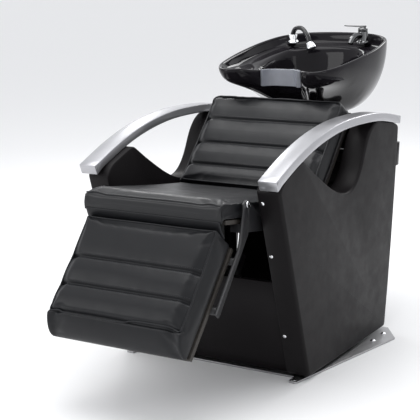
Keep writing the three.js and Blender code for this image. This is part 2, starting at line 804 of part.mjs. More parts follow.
// ---- basin cradle, tilt pin and bracket ----
const CRADLE = { z0: BOWL.bottom - 8, z1: BOWL.bottom - GAP, ear: 40, earThick: 6 };
function cradle() {
  const plate = box([-92, 92], [800, 948], [CRADLE.z0, CRADLE.z1]);
  const ear = (side) =>
    across(
      polygon([808, CRADLE.z0 + 2], [TILT_PIVOT.y - 14, TILT_PIVOT.z], [TILT_PIVOT.y, TILT_PIVOT.z - 14],
        [TILT_PIVOT.y + 14, TILT_PIVOT.z], [862, CRADLE.z0 + 2]),
      span(side, CRADLE.ear, CRADLE.ear + CRADLE.earThick),
    );
  return cut(
    join(plate, ear(-1), ear(1)),
    discZ(0, BOWL.bottomY, 34, [CRADLE.z0 - 5, CRADLE.z1 + 5]),
    discX(TILT_PIVOT.y, TILT_PIVOT.z, 8.3, [-60, 60], 24),
  );
}
add("bowl_cradle", cradle(), STEEL);

const BOWL_ARM = { y0: REAR_POST.y1 + GAP, y1: 815, z0: 560, z1: 584 };
add("bowl_arm", box([-56, 56], [BOWL_ARM.y0, BOWL_ARM.y1], [BOWL_ARM.z0, BOWL_ARM.z1]), STEEL);

function tiltBracket() {
  const foot = BOWL_ARM.z1 + GAP;
  const inner = CRADLE.ear + CRADLE.earThick + GAP;
  const ear = (side) =>
    across(
      polygon([762, foot], [812, foot], [TILT_PIVOT.y + 15, TILT_PIVOT.z - 2],
        [TILT_PIVOT.y, TILT_PIVOT.z + 15], [TILT_PIVOT.y - 18, TILT_PIVOT.z + 4]),
      span(side, inner, inner + 6),
    );
  const sole = box([-inner - 3, inner + 3], [762, 812], [foot, foot + 7]);
  return cut(join(ear(-1), ear(1), sole), discX(TILT_PIVOT.y, TILT_PIVOT.z, 8.3, [-80, 80], 24));
}
add("tilt_bracket", tiltBracket(), STEEL);
const KNOB = { inner: 58, outer: 80, radius: 18, lobe: 7, lobes: 5 };
add("tilt_pin", discX(TILT_PIVOT.y, TILT_PIVOT.z, 8, [-60, KNOB.outer - 4], 24), CHROME);

function clampKnob() {
  const hub = discX(0, 0, KNOB.radius, [KNOB.inner, KNOB.outer], 24);
  const lobes = Array.from({ length: KNOB.lobes }, (_, i) => {
    const turn = (2 * Math.PI * i) / KNOB.lobes;
    const [y, z] = [KNOB.radius * Math.cos(turn), KNOB.radius * Math.sin(turn)];
    return discX(y, z, KNOB.lobe, [KNOB.inner + 3, KNOB.outer - 2], 16);
  });
  const bore = discX(0, 0, 8.3, [KNOB.inner - 5, KNOB.outer - 4 + GAP], 24);
  return cut(join(hub, ...lobes), bore).translate(0, TILT_PIVOT.y, TILT_PIVOT.z);
}
add("tilt_clamp_knob", clampKnob(), PLASTIC);

// ---- waste: flange, lift-out strainer and tailpiece ----
const sump = BOWL.bottom + BOWL_WALL;
const about = (geometry) => geometry.translate(0, BOWL.bottomY, 0);
add(
  "drain_flange",
  about(
    turned([
      [25, BOWL.bottom - 2],
      [DRAIN_RADIUS - 1, BOWL.bottom - 2],
      [DRAIN_RADIUS - 1, sump + 0.5],
      [DRAIN_RADIUS + 9, sump + 0.5],
      [DRAIN_RADIUS + 8, sump + 3],
      [28, sump + 3],
      [25, sump],
      [25, BOWL.bottom - 2],
    ]),
  ),
  CHROME,
);
add(
  "strainer",
  about(
    turned([
      [0, sump - 9],
      [21, sump - 9],
      [24.4, sump + 1],
      [23, sump + 4],
      [9, sump + 6.5],
      [7, sump + 14],
      [0, sump + 15],
    ]),
  ),
  CHROME,
);
add(
  "drain_tailpiece",
  about(
    turned([
      [19, 614],
      [22, 614],
      [22, CRADLE.z0 - 6],
      [30, CRADLE.z0 - 6],
      [30, BOWL.bottom - 2.6],
      [19, BOWL.bottom - 2.6],
      [19, 614],
    ]),
  ),
  PLASTIC,
);

// ---- single-lever mixer and hand shower on the ledge ----
const deckZ = (x, y) => rimHeight(x, y) - DECK_DROP + 8.5;
const mixerZ = deckZ(MIXER.x, MIXER.y);
function mixerBody() {
  const body = turned([
    [0, 0],
    [24, 0],
    [23, 5],
    [18, 9],
    [17, 40],
    [0, 40],
  ], 24);
  const path = new THREE.QuadraticBezierCurve3(
    new THREE.Vector3(0, 0, 22),
    new THREE.Vector3(-8, -52, 44),
    new THREE.Vector3(-12, -76, 4),
  );
  const ring = new THREE.Shape().absarc(0, 0, 9, 0, 2 * Math.PI);
  const spout = new THREE.ExtrudeGeometry(ring, {
    extrudePath: path,
    steps: 12,
    curveSegments: 6,
    bevelEnabled: false,
  });
  return join(body, spout).translate(MIXER.x, MIXER.y, mixerZ);
}
add("mixer_body", mixerBody(), CHROME);
add(
  "mixer_cartridge",
  turned([
    [0, 40 + GAP],
    [16.5, 40 + GAP],
    [16.5, 50],
    [12, 54],
    [0, 54],
  ], 24).translate(MIXER.x, MIXER.y, mixerZ),
  CHROME,
);
function mixerLever() {
  const blade = box([-70, 12], [-9, 9], [0, 6]);
  return blade.translate(MIXER.x, MIXER.y, mixerZ + 54 + GAP);
}
add("mixer_lever", mixerLever(), CHROME);

const showerZ = deckZ(SHOWER.x, SHOWER.y);
add(
  "shower_holder",
  turned([
    [11, 0],
    [21, 0],
    [20, 6],
    [15, 12],
    [15, 30],
    [11, 30],
    [11, 0],
  ], 24).translate(SHOWER.x, SHOWER.y, showerZ),
  CHROME,
);
function handShower() {
  const path = new THREE.CatmullRomCurve3(
    [
      [0, 0, 4],
      [0, 0, 34],
      [14, -4, 52],
      [42, -12, 52],
      [66, -19, 28],
      [76, -22, 2],
    ].map((p) => new THREE.Vector3(...p)),
  );
  const ring = new THREE.Shape().absarc(0, 0, 9.5, 0, 2 * Math.PI);
  const handle = new THREE.ExtrudeGeometry(ring, {
    extrudePath: path,
    steps: 20,
    curveSegments: 6,
    bevelEnabled: false,
  });
  const rose = new THREE.CylinderGeometry(13, 19, 22, 24)
    .rotateX(Math.PI / 2)
    .rotateY(rad(-24))
    .translate(80, -23, -4);
  return join(handle, rose).translate(SHOWER.x, SHOWER.y, showerZ);
}
add("hand_shower", handShower(), CHROME);

// ---- the frame's origin is under the middle of the unit ----
const bounds = new THREE.Box3().setFromObject(unit);
unit.position.y = -(bounds.min.y + bounds.max.y) / 2;
unit.updateMatrixWorld(true);

export default unit;
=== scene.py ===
"""Looks of the shampoo backwash unit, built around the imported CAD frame. Metres, +Z up."""

import json
import math
import bmesh
import bpy
import numpy as np
from mathutils import Matrix, Vector, noise
from mathutils.bvhtree import BVHTree


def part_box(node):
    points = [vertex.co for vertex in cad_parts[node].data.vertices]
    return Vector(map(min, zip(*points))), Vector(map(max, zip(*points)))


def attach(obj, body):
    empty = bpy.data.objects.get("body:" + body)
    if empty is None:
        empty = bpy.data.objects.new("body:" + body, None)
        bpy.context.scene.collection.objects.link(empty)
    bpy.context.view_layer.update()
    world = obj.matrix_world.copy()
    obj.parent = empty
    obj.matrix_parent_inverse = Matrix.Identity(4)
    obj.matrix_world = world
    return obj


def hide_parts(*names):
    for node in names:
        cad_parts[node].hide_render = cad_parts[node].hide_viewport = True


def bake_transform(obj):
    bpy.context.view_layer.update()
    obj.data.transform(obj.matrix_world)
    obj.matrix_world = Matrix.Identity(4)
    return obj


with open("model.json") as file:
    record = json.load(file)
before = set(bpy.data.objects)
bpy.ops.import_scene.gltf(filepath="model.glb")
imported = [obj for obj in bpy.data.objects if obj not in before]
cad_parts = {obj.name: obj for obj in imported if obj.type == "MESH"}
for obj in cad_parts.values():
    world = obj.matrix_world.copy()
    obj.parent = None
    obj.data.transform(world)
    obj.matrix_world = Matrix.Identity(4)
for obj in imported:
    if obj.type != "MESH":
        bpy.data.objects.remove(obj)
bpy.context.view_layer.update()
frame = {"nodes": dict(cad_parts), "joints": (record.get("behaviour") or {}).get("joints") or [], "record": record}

# ---- driving values ----
MM = 0.001
HINGE = next(j for j in frame["joints"] if j["name"] == "legrest_lift")["pos_m"]
SIDES = ((-1, "left"), (1, "right"))

# cushions, their cloth and their seams
VOXEL = 6 * MM
CLOTH_PRESSURE = 4
CLOTH_FRAMES = 20
RESTING = -0.7
SEAM_WIDTH = 5.5 * MM
SEAM_MARGIN = 4 * MM
CROWN = 2 * MM
PIPING = 2.6 * MM
PIPING_PROUD = 0.35
STITCH_LENGTH = 3.6 * MM
STITCH_PITCH = 6.5 * MM
STITCH_THICKNESS = 0.45 * MM
STITCH_SHAPE = ((-0.5, 0.25), (-0.3, 0.9), (0.3, 0.9), (0.5, 0.25))

# radii about the legrest's hinge line: the seat stays inside the first, the heel outside the last
NOSE_PIPING_RADIUS = 113.5 * MM
NOSE_PIPING_TURN = math.radians(14)
NOSE_LIMIT = 114.2 * MM
FLAP_AT_NOSE = 114.9 * MM
FLAP_AT_HEEL = 116.6 * MM
HEEL_LIMIT = 117.8 * MM

# places of the sewn channels: shares of the back's length, and runs from the hinge on the legrest
BACK_SEAMS = (0.205, 0.44, 0.70)
BACK_TOP_SEAM = 18 * MM
BACK_CHAMFER = 24 * MM
LEG_SEAMS = (242 * MM, 327 * MM)
LEG_TOE_SEAM = 408 * MM
LEG_PIPING = (112 * MM, 412 * MM)

PORE_SCALE = 820

# side panels, linings and fasteners
WELD = 0.02 * MM
WALL_GAP = 0.6 * MM
PANEL_ROUNDING = 9 * MM
FRONT_RAKE = 0.279
BOLT_HEIGHTS = (140 * MM, 395 * MM, 555 * MM)
STRETCHER_RAKE = 0.13
CAPPED_BOLT = ((0, 2.6), (2.2, 2.6), (2.4, 1.9), (4.4, 2.3), (5.6, 1.4), (5.8, 0), (0, 0))
PAN_HEAD = ((0, 1.2), (2, 1.2), (2.2, 2.4), (4.6, 2.2), (6, 0.6), (6.2, 0), (0, 0))
DOME_HEAD = ((0, 3.4), (2.4, 3.3), (5.6, 2.2), (6.6, 1.0), (9, 0.8), (9.2, 0), (0, 0))

# the hand shower's neck above its holder, and its turned parts as (radius, height), in millimetres
SHOWER_NECK = ((0, 0, 4), (0, 0, 34), (14, -4, 52), (42, -12, 52), (66, -19, 28), (76, -22, 2))
SHOWER_HEAD = (
    (0, -6), (8.5, -6), (11, -3), (12, 0), (17.5, 12), (18.6, 17), (18.2, 19.5), (16, 20), (0, 20)
)
SHOWER_AIM = (0.4, -0.1, -0.91)
NOZZLE = ((1.3, -1), (1.0, 1.2), (0.5, 1.5))
NOZZLE_RINGS = ((5, 6), (11, 12))

# the main camera: its place, its angles in degrees and its lens in millimetres
CAMERA_AT = (1.8615, -3.1699, 1.2726)
CAMERA_YAW = 32.03
CAMERA_PITCH = 12.71
CAMERA_ROLL = -1.55
CAMERA_LENS = 104.13
SENSOR_WIDTH = 36

FLOOR_REACH = 70
FLOOR_DROP = 0.5 * MM


# ---- camera, floor and light ----
def make_camera():
    data = bpy.data.cameras.new("camera")
    data.lens = CAMERA_LENS
    data.sensor_width = SENSOR_WIDTH
    camera = new_object("camera", data)
    yaw, pitch, roll = (math.radians(v) for v in (CAMERA_YAW, CAMERA_PITCH, CAMERA_ROLL))
    ahead = Vector((-math.sin(yaw) * math.cos(pitch), math.cos(yaw) * math.cos(pitch), -math.sin(pitch)))
    level = Vector((math.cos(yaw), math.sin(yaw), 0))
    upward = level.cross(ahead)
    right = math.cos(roll) * level + math.sin(roll) * upward
    up = -math.sin(roll) * level + math.cos(roll) * upward
    turn = Matrix((right, up, -ahead)).transposed().to_4x4()
    camera.matrix_world = Matrix.Translation(CAMERA_AT) @ turn
    bpy.context.scene.camera = camera


def softbox(name, at, target, size, power):
    """A rectangular light at one place that faces another."""
    data = bpy.data.lights.new(name, "AREA")
    data.shape = "RECTANGLE"
    data.size, data.size_y = size
    data.energy = power
    light = new_object(name, data)
    light.location = at
    light.rotation_mode = "QUATERNION"
    light.rotation_quaternion = (Vector(target) - Vector(at)).to_track_quat("-Z", "Y")


def make_studio():
    world = bpy.data.worlds.new("studio")
    world.use_nodes = True
    background = world.node_tree.nodes["Background"].inputs
    background["Color"].default_value = rgb(0.92, 0.93, 0.95)
    background["Strength"].default_value = 0.95
    bpy.context.scene.world = world
    bpy.context.scene.view_settings.view_transform = "Standard"
    softbox("overhead", (-0.3, -0.2, 3.2), (0, 0, 0.5), (2.2, 2.6), 60)
    softbox("front", (-2.2, -3.0, 1.9), (0, -0.2, 0.5), (1.8, 1.6), 30)
    softbox("right", (3.4, -0.6, 1.7), (0.2, 0, 0.5), (0.9, 1.6), 7)
    softbox("behind", (0.6, 3.2, 2.2), (0, 0.4, 0.8), (1.6, 0.7), 22)
    softbox("window", (-1.9, 1.9, 2.3), (0, 0.4, 0.85), (0.4, 1.2), 10)


def make_floor():
    mesh = bpy.data.meshes.new("floor")
    turns = ((-1, -1), (1, -1), (1, 1), (-1, 1))
    corners = [(x * FLOOR_REACH, y * FLOOR_REACH, 0) for x, y in turns]
    mesh.from_pydata(corners, [], [(0, 1, 2, 3)])
    floor = new_object("floor", mesh)
    floor.location.z = -FLOOR_DROP
    m = Material("floor_paper")
    m.set("Base Color", rgb(0.90, 0.90, 0.905))
    m.set("Roughness", 0.75)
    m.bump(m.noise(120, 3), 0.15, 0.2 * MM)
    floor.data.materials.append(m.material)


# ---- materials ----
class Material:
    """A Principled material with short calls for the node patterns that the pieces share."""

    def __init__(self, name):
        self.material = bpy.data.materials.new(name)
        self.material.use_nodes = True
        self.nodes = self.material.node_tree.nodes
        self.links = self.material.node_tree.links
        self.shader = self.nodes["Principled BSDF"]
        self.place = self.nodes.new("ShaderNodeTexCoord").outputs["Object"]
        self.height = None

    def set(self, socket, value):
        self.shader.inputs[socket].default_value = value

    def stretched(self, scale):
        mapping = self.nodes.new("ShaderNodeMapping")
        mapping.inputs["Scale"].default_value = scale
        self.links.new(self.place, mapping.inputs["Vector"])
        return mapping.outputs["Vector"]

    def noise(self, scale, detail, stretch=None):
        node = self.nodes.new("ShaderNodeTexNoise")
        node.inputs["Scale"].default_value = scale
        node.inputs["Detail"].default_value = detail
        self.links.new(self.stretched(stretch) if stretch else self.place, node.inputs["Vector"])
        return node.outputs["Fac"]

    def cells(self, scale, feature="SMOOTH_F1"):
        node = self.nodes.new("ShaderNodeTexVoronoi")
        node.feature = feature
        node.inputs["Scale"].default_value = scale
        self.links.new(self.place, node.inputs["Vector"])
        return node.outputs["Distance"]

    def ramp(self, value, low, high, start=0.3, end=0.7):
        node = self.nodes.new("ShaderNodeMapRange")
        node.inputs["From Min"].default_value = start
        node.inputs["From Max"].default_value = end
        node.inputs["To Min"].default_value = low
        node.inputs["To Max"].default_value = high
        self.links.new(value, node.inputs["Value"])
        return node.outputs["Result"]

    def blend(self, factor, first, second):
        node = self.nodes.new("ShaderNodeMix")
        node.data_type = "RGBA"
        self.links.new(factor, node.inputs["Factor"])
        for socket, value in ((node.inputs[6], first), (node.inputs[7], second)):
            if isinstance(value, tuple):
                socket.default_value = value
            else:
                self.links.new(value, socket)
        return node.outputs[2]

    def colour(self, value):
        self.links.new(value, self.shader.inputs["Base Color"])

    def rough(self, value):
        self.links.new(value, self.shader.inputs["Roughness"])

    def bump(self, value, strength, distance):
        node = self.nodes.new("ShaderNodeBump")
        node.inputs["Strength"].default_value = strength
        node.inputs["Distance"].default_value = distance
        self.links.new(value, node.inputs["Height"])
        if self.height:
            self.links.new(self.height, node.inputs["Normal"])
        self.height = node.outputs["Normal"]
        self.links.new(self.height, self.shader.inputs["Normal"])

    def edges(self):
        """A value that rises along the surface's convex edges, where the leather paints its highlight."""
        node = self.nodes.new("ShaderNodeNewGeometry")
        return self.ramp(node.outputs["Pointiness"], 0, 1, 0.52, 0.62)


def rgb(red, green, blue):
    return (red, green, blue, 1)


def shade(color, share):
    return rgb(*(c * share for c in color[:3]))


def leather(name, color, gloss, edge_highlight, sheen):
    """Black leather: gloss is its roughness, the edge value sets the painted highlight, a paler colour along its
    rounded edges, and sheen its reflection.
    """
    m = Material(name)
    tone = m.blend(m.ramp(m.noise(4, 2), 0, 1), shade(color, 0.92), shade(color, 1.08))
    pores = m.blend(m.ramp(m.cells(PORE_SCALE), 0, 0.45, 0.02, 0.3), shade(color, 0.55), tone)
    # a paler colour along the convex edges: a painted highlight
    m.colour(m.blend(m.ramp(m.edges(), 0, edge_highlight, 0, 1), pores, shade(color, 1.9)))
    m.rough(m.ramp(m.noise(26, 4), gloss - 0.04, gloss + 0.06))
    m.set("Specular IOR Level", sheen)
    m.set("Coat Weight", 0.15 * sheen)
    m.set("Coat Roughness", 0.25)
    m.bump(m.noise(9, 2), 0.2, 0.8 * MM)
    m.bump(m.cells(PORE_SCALE), 0.22, 0.18 * MM)
    m.bump(m.noise(300, 5), 0.2, 0.12 * MM)
    return m.material


def brushed(name, color, roughness, stretch):
    m = Material(name)
    lines = m.noise(9, 6, stretch)
    m.colour(m.blend(m.ramp(lines, 0, 1), shade(color, 0.88), shade(color, 1.08)))
    m.set("Metallic", 1.0)
    m.rough(m.ramp(m.noise(9, 6, stretch), roughness - 0.06, roughness + 0.08))
    m.bump(lines, 0.12, 0.05 * MM)
    return m.material


def lacquer(name, color, roughness, metallic):
    m = Material(name)
    flakes = m.ramp(m.cells(2600, "F1"), 0, 1, 0.1, 0.6)
    m.colour(m.blend(flakes, shade(color, 1.06), shade(color, 0.92)))
    m.set("Metallic", metallic)
    m.rough(m.ramp(m.noise(18, 3), roughness - 0.04, roughness + 0.05))
    m.set("Coat Weight", 0.25)
    m.set("Coat Roughness", 0.18)
    m.bump(m.noise(700, 3), 0.08, 0.05 * MM)
    return m.material


def chromed(name, share=1.0):
    """Polished chrome, with a share of its full brightness; a small share paints a dark reflection into its
    colour.
    """
    m = Material(name)
    m.set("Metallic", 1.0)
    tone = m.ramp(m.noise(40, 3), 0, 1)
    dull, bright = rgb(0.80, 0.81, 0.83), rgb(0.88, 0.885, 0.90)
    m.colour(m.blend(tone, shade(dull, share), shade(bright, share)))
    m.rough(m.ramp(m.noise(55, 4), 0.05, 0.11))
    m.bump(m.noise(90, 2), 0.03, 0.05 * MM)
    return m.material


def glazed(name, color):
    m = Material(name)
    tone = m.ramp(m.noise(14, 3), 0, 1)
    m.colour(m.blend(tone, shade(color, 0.8), shade(color, 1.25)))
    m.rough(m.ramp(m.noise(60, 4), 0.035, 0.075))
    m.set("Specular IOR Level", 0.17)
    m.bump(m.noise(22, 1), 0.06, 0.4 * MM)
    return m.material


def moulded(name, color, roughness):
    m = Material(name)
    m.colour(m.blend(m.ramp(m.noise(35, 4), 0, 1), shade(color, 0.85), shade(color, 1.2)))
    m.rough(m.ramp(m.noise(120, 3), roughness - 0.06, roughness + 0.08))
    m.bump(m.noise(900, 2), 0.25, 0.06 * MM)
    return m.material


def gel(name, color):
    m = Material(name)
    m.colour(m.blend(m.ramp(m.noise(20, 3), 0, 1), shade(color, 0.92), shade(color, 1.08)))
    m.rough(m.ramp(m.noise(30, 2), 0.2, 0.26))
    m.set("Subsurface Weight", 0.2)
    m.set("Subsurface Radius", (0.006, 0.006, 0.008))
    m.set("Coat Weight", 0.3)
    m.set("Coat Roughness", 0.15)
    m.bump(m.noise(16, 1), 0.06, 0.4 * MM)
    return m.material


def plywood(name):
    m = Material(name)
    plies = m.noise(10, 2, (1, 9, 55))
    m.colour(m.blend(m.ramp(plies, 0, 1), rgb(0.014, 0.012, 0.010), rgb(0.036, 0.030, 0.025)))
    m.rough(m.ramp(plies, 0.55, 0.75))
    m.bump(plies, 0.2, 0.2 * MM)
    return m.material


SEAT_BLACK = rgb(0.012, 0.0125, 0.0145)
PANEL_BLACK = rgb(0.0085, 0.0072, 0.0080)
LOOKS = {
    "seat_leather": leather("seat_leather", SEAT_BLACK, 0.40, 0.5, 0.32),
    "legrest_leather": leather("legrest_leather", SEAT_BLACK, 0.42, 0.5, 0.20),
    "panel_leather": leather("panel_leather", PANEL_BLACK, 0.46, 0.35, 0.13),
    "rear_laminate": moulded("rear_laminate", rgb(0.014, 0.013, 0.014), 0.42),
    "silver_paint": lacquer("silver_paint", rgb(0.44, 0.44, 0.46), 0.36, 0.8),
    "stainless": brushed("stainless", rgb(0.40, 0.40, 0.41), 0.36, (2, 60, 60)),
    "chrome": chromed("chrome"),
    "shower_shell": moulded("shower_shell", rgb(0.018, 0.018, 0.02), 0.14),
    "ceramic_glaze": glazed("ceramic_glaze", rgb(0.009, 0.008, 0.010)),
    "neck_gel": gel("neck_gel", rgb(0.21, 0.22, 0.25)),
    "frame_steel": lacquer("frame_steel", rgb(0.016, 0.016, 0.018), 0.45, 0.2),
    "plywood": plywood("plywood"),
    "black_plastic": moulded("black_plastic", rgb(0.022, 0.022, 0.025), 0.45),
}
THREAD = moulded("thread", rgb(0.045, 0.046, 0.052), 0.6)
# chrome at a sixth of its brightness: the black basin's dark reflection painted into the mixer's colour
CHROME_PAINTED_DARK = chromed("chrome_painted_dark", 0.16)
CHROME_PAINTED_DARK_NODES = ("mixer_body", "mixer_cartridge")
NOZZLE_RUBBER = moulded("nozzle_rubber", rgb(0.02, 0.02, 0.022), 0.5)


# ---- mesh helpers ----
def new_object(name, data):
    piece = bpy.data.objects.new(name, data)
    bpy.context.scene.collection.objects.link(piece)
    return piece


def finish_piece(piece, body, slot, replaces=(), look=None):
    """Smooth shading, the slot's material or another look, and the calls that place the piece."""
    for polygon in piece.data.polygons:
        polygon.use_smooth = True
    piece.data.materials.clear()
    piece.data.materials.append(look or LOOKS[slot])
    if body:
        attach(piece, body)
    if replaces:
        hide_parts(*replaces)
    return piece


def welded(node):
    """A bmesh copy of a CAD node whose faces share their vertices."""
    bm = bmesh.new()
    bm.from_mesh(frame["nodes"][node].data)
    bmesh.ops.remove_doubles(bm, verts=bm.verts, dist=WELD)
    return bm


def piece_of(bm, name):
    """A new object from a bmesh, which it uses up."""
    bmesh.ops.recalc_face_normals(bm, faces=bm.faces)
    mesh = bpy.data.meshes.new(name)
    bm.to_mesh(mesh)
    bm.free()
    return new_object(name, mesh)


def evaluated(piece):
    """The piece's mesh with its modifiers applied, as a new mesh."""
    graph = bpy.context.evaluated_depsgraph_get()
    return bpy.data.meshes.new_from_object(piece.evaluated_get(graph))


def apply_modifiers(piece):
    mesh = evaluated(piece)
    piece.modifiers.clear()
    piece.data = mesh
    return piece


def subdivide(piece):
    modifier = piece.modifiers.new("subdivide", "SUBSURF")
    modifier.levels = 1
    modifier.render_levels = 1
    return apply_modifiers(piece)


def vertex_values(mesh, attribute):
    flat = np.zeros(len(mesh.vertices) * 3)
    mesh.vertices.foreach_get(attribute, flat)
    return flat.reshape(-1, 3)


def coords(mesh):
    return vertex_values(mesh, "co")


def normals(mesh):
    return vertex_values(mesh, "normal")


def place(mesh, points):
    mesh.vertices.foreach_set("co", points.ravel())
    mesh.update()


def skin(bm, rings, closed=False):
    """Faces between rings of vertices, joined end to end if closed and capped if not."""
    pairs = list(zip(rings, rings[1:]))
    if closed:
        pairs.append((rings[-1], rings[0]))
    for low, high in pairs:
        count = len(low)
        for k in range(count):
            n = (k + 1) % count
            bm.faces.new((low[k], low[n], high[n], high[k]))
    if not closed:
        bm.faces.new(rings[0])
        bm.faces.new(rings[-1])


def sweep(name, points, radius, closed=False, sides=10):
    """A round tube along vectors; radius is a number or one for each point."""
    count = len(points)
    radii = radius if isinstance(radius, list) else [radius] * count
    bm = bmesh.new()
    rings = []
    side = None
    for i, at in enumerate(points):
        before = points[i - 1] if closed or i else at
        after = points[(i + 1) % count] if closed or i + 1 < count else at
        along = (after - before).normalized()
        if side is None:
            side = along.orthogonal().normalized()
        side = (side - along * side.dot(along)).normalized()
        across = along.cross(side)
        ring = []
        for k in range(sides):
            turn = 2 * math.pi * k / sides
            offset = (math.cos(turn) * side + math.sin(turn) * across) * radii[i]
            ring.append(bm.verts.new(at + offset))
        rings.append(ring)
    skin(bm, rings, closed)
    return piece_of(bm, name)


def turned(name, profile, at, axis, sides):
    """A profile of (radius, height) in millimetres turned about an axis through `at`."""
    bm = bmesh.new()
    centre = Vector(at)
    aim = Vector(axis).to_track_quat("Z", "Y")
    rings = []
    for radius, height in profile:
        r, h = radius * MM, height * MM
        count = sides if radius else 1
        ring = []
        for k in range(count):
            turn = 2 * math.pi * k / sides
            ring.append(bm.verts.new(centre + aim @ Vector((r * math.cos(turn), r * math.sin(turn), h))))
        rings.append(ring)
    for low, high in zip(rings, rings[1:]):
        for k in range(sides):
            n = (k + 1) % sides
            quad = [low[k % len(low)], low[n % len(low)], high[n % len(high)], high[k % len(high)]]
            bm.faces.new(list(dict.fromkeys(quad)))
    for end in (rings[0], rings[-1]):
        if len(end) > 1:
            bm.faces.new(end)
    return piece_of(bm, name)


def fastener(name, profile, at, axis):
    finish_piece(turned(name, profile, at, axis, 24), "root", "chrome")


def curve_point(p0, p1, p2, p3, t):
    """A place between p1 and p2 on the smooth curve that passes through all four points."""
    slope = p2 - p0
    bend = 2 * p0 - 5 * p1 + 4 * p2 - p3
    twist = 3 * p1 - p0 - 3 * p2 + p3
    return 0.5 * (2 * p1 + slope * t + bend * t**2 + twist * t**3)


def eased(points, passes):
    """A closed run of points, each drawn towards its neighbours."""
    count = len(points)
    for _ in range(passes):
        points = [(points[i - 1] + points[i] * 2 + points[(i + 1) % count]) / 4 for i in range(count)]
    return points


def soften_edges(piece, width):
    """Small rounded edges and clean shading on a hard piece, as modifiers."""
    weld = piece.modifiers.new("weld", "WELD")
    weld.merge_threshold = WELD
    bevel = piece.modifiers.new("edges", "BEVEL")
    bevel.width = width
    bevel.segments = 2
    bevel.limit_method = "ANGLE"
    bevel.angle_limit = math.radians(28)
    bevel.harden_normals = True
    for polygon in piece.data.polygons:
        polygon.use_smooth = True


# ---- padded pieces ----
class Pad:
    """A cushion's own directions: x across, `along` its length and `out` of its face."""

    def __init__(self, node, board, upward):
        facing = {}
        for polygon in frame["nodes"][board].data.polygons:
            key = tuple(round(v, 2) for v in polygon.normal)
            facing[key] = facing.get(key, 0) + polygon.area
        flat = [k for k in facing if abs(k[0]) < 0.1]
        best = Vector(max(flat, key=facing.get))
        self.out = (best if best.z > 0 else -best).normalized()
        along = self.out.cross(Vector((1, 0, 0)))
        self.along = along if along.z * upward > 0 else -along
        x, run, rise = self.split(coords(frame["nodes"][node].data))
        self.half = x.max()
        self.start, self.end = run.min(), run.max()
        self.low, self.top = rise.min(), rise.max()

    def split(self, points):
        return points[:, 0], points @ np.array(self.along), points @ np.array(self.out)

    def point(self, x, along, out):
        return Vector((x, 0, 0)) + self.along * along + self.out * out

    def facing(self, piece):
        """How far each of a piece's vertices faces out of the pad, from -1 to 1."""
        return normals(piece.data) @ np.array(self.out)


def voxelised(name, bm, inset):
    """The shape remeshed to even quads and drawn in a little, ready to swell."""
    piece = piece_of(bm, name)
    remesh = piece.modifiers.new("remesh", "REMESH")
    remesh.mode = "VOXEL"
    remesh.voxel_size = VOXEL
    apply_modifiers(piece)
    place(piece.data, coords(piece.data) - normals(piece.data) * inset)
    return piece


def inflate(piece, pad, cap):
    """Cloth under pressure, held where it rests on its board. No vertex moves further than cap."""
    rest = coords(piece.data)
    group = piece.vertex_groups.new(name="held")
    group.add([int(i) for i in np.nonzero(pad.facing(piece) < RESTING)[0]], 1.0, "REPLACE")
    cloth = piece.modifiers.new("cloth", "CLOTH")
    cloth.settings.use_pressure = True
    cloth.settings.uniform_pressure_force = CLOTH_PRESSURE
    cloth.settings.effector_weights.gravity = 0
    cloth.settings.vertex_group_mass = "held"
    cloth.settings.quality = 4
    cloth.collision_settings.use_collision = False
    scene = bpy.context.scene
    for step in range(1, CLOTH_FRAMES + 1):
        scene.frame_set(step)
    swollen = coords(evaluated(piece))
    piece.modifiers.clear()
    piece.vertex_groups.clear()
    scene.frame_set(1)
    moved = swollen - rest
    reach = np.linalg.norm(moved, axis=1, keepdims=True)
    moved *= np.minimum(1.0, cap / np.maximum(reach, 1e-9))
    place(piece.data, rest + moved)
    ease = piece.modifiers.new("ease", "SMOOTH")
    ease.factor = 0.5
    ease.iterations = 4
    apply_modifiers(piece)


def fill_outline(piece, pad):
    """Stretches a pad in its own plane so that its cover reaches the outline it was cut to."""
    x, run, rise = pad.split(coords(piece.data))
    x = x * (pad.half / np.abs(x).max())
    run = pad.start + (run - run.min()) * (pad.end - pad.start) / (run.max() - run.min())
    place(piece.data, np.outer(x, (1, 0, 0)) + np.outer(run, pad.along) + np.outer(rise, pad.out))


def stuffed(name, bm, pad, inset, cap):
    """A soft cushion from a hard shape: drawn in, swollen as cloth, filled out and smoothed."""
    piece = voxelised(name, bm, inset)
    inflate(piece, pad, cap)
    fill_outline(piece, pad)
    return subdivide(piece)


def bell(distance, width):
    return np.exp(-((distance / width) ** 2))


def ripples(x, run, across, lengthwise, layer):
    """Smooth noise over a pad's face, at so many waves for each metre."""
    return np.array([noise.noise(Vector((a * across, b * lengthwise, layer))) for a, b in zip(x, run)])


def sew(piece, pad, seams, depth):
    """Presses sewn channels across the pad's face, with pillows between and puckers beside them."""
    points = coords(piece.data)
    x, run, _ = pad.split(points)
    face = np.clip((pad.facing(piece) - 0.35) / 0.4, 0, 1)
    edge = np.clip((pad.half - SEAM_MARGIN - np.abs(x)) / (14 * MM), 0, 1)
    nearest = np.min([np.abs(run - s) for s in seams], axis=0)
    groove = bell(nearest, SEAM_WIDTH) + 0.35 * bell(nearest, 4 * SEAM_WIDTH)
    swell = CROWN * (1 - bell(nearest, 6 * SEAM_WIDTH))
    pucker = ripples(x, run, 42, 9, 0.3) * 0.9 * MM * bell(nearest, 24 * MM)
    creases = ripples(x, run, 7, 13, 2.1) * 1.3 * MM
    moved = ((swell + pucker - depth * groove) * edge + creases) * face
    place(piece.data, points + moved[:, None] * np.array(pad.out))


def wrinkle(piece, pad):
    """Slight hollows and creases on the seat's face where people sit."""
    points = coords(piece.data)
    x, run, _ = pad.split(points)
    face = np.clip((pad.facing(piece) - 0.5) / 0.4, 0, 1)
    dish = -3.5 * MM * bell(x, 0.15) * bell(run - (pad.start + pad.end) / 2, 0.13)
    creases = ripples(x, run, 9, 16, 1.7) * 1.4 * MM
    place(piece.data, points + ((dish + creases) * face)[:, None] * np.array(pad.out))


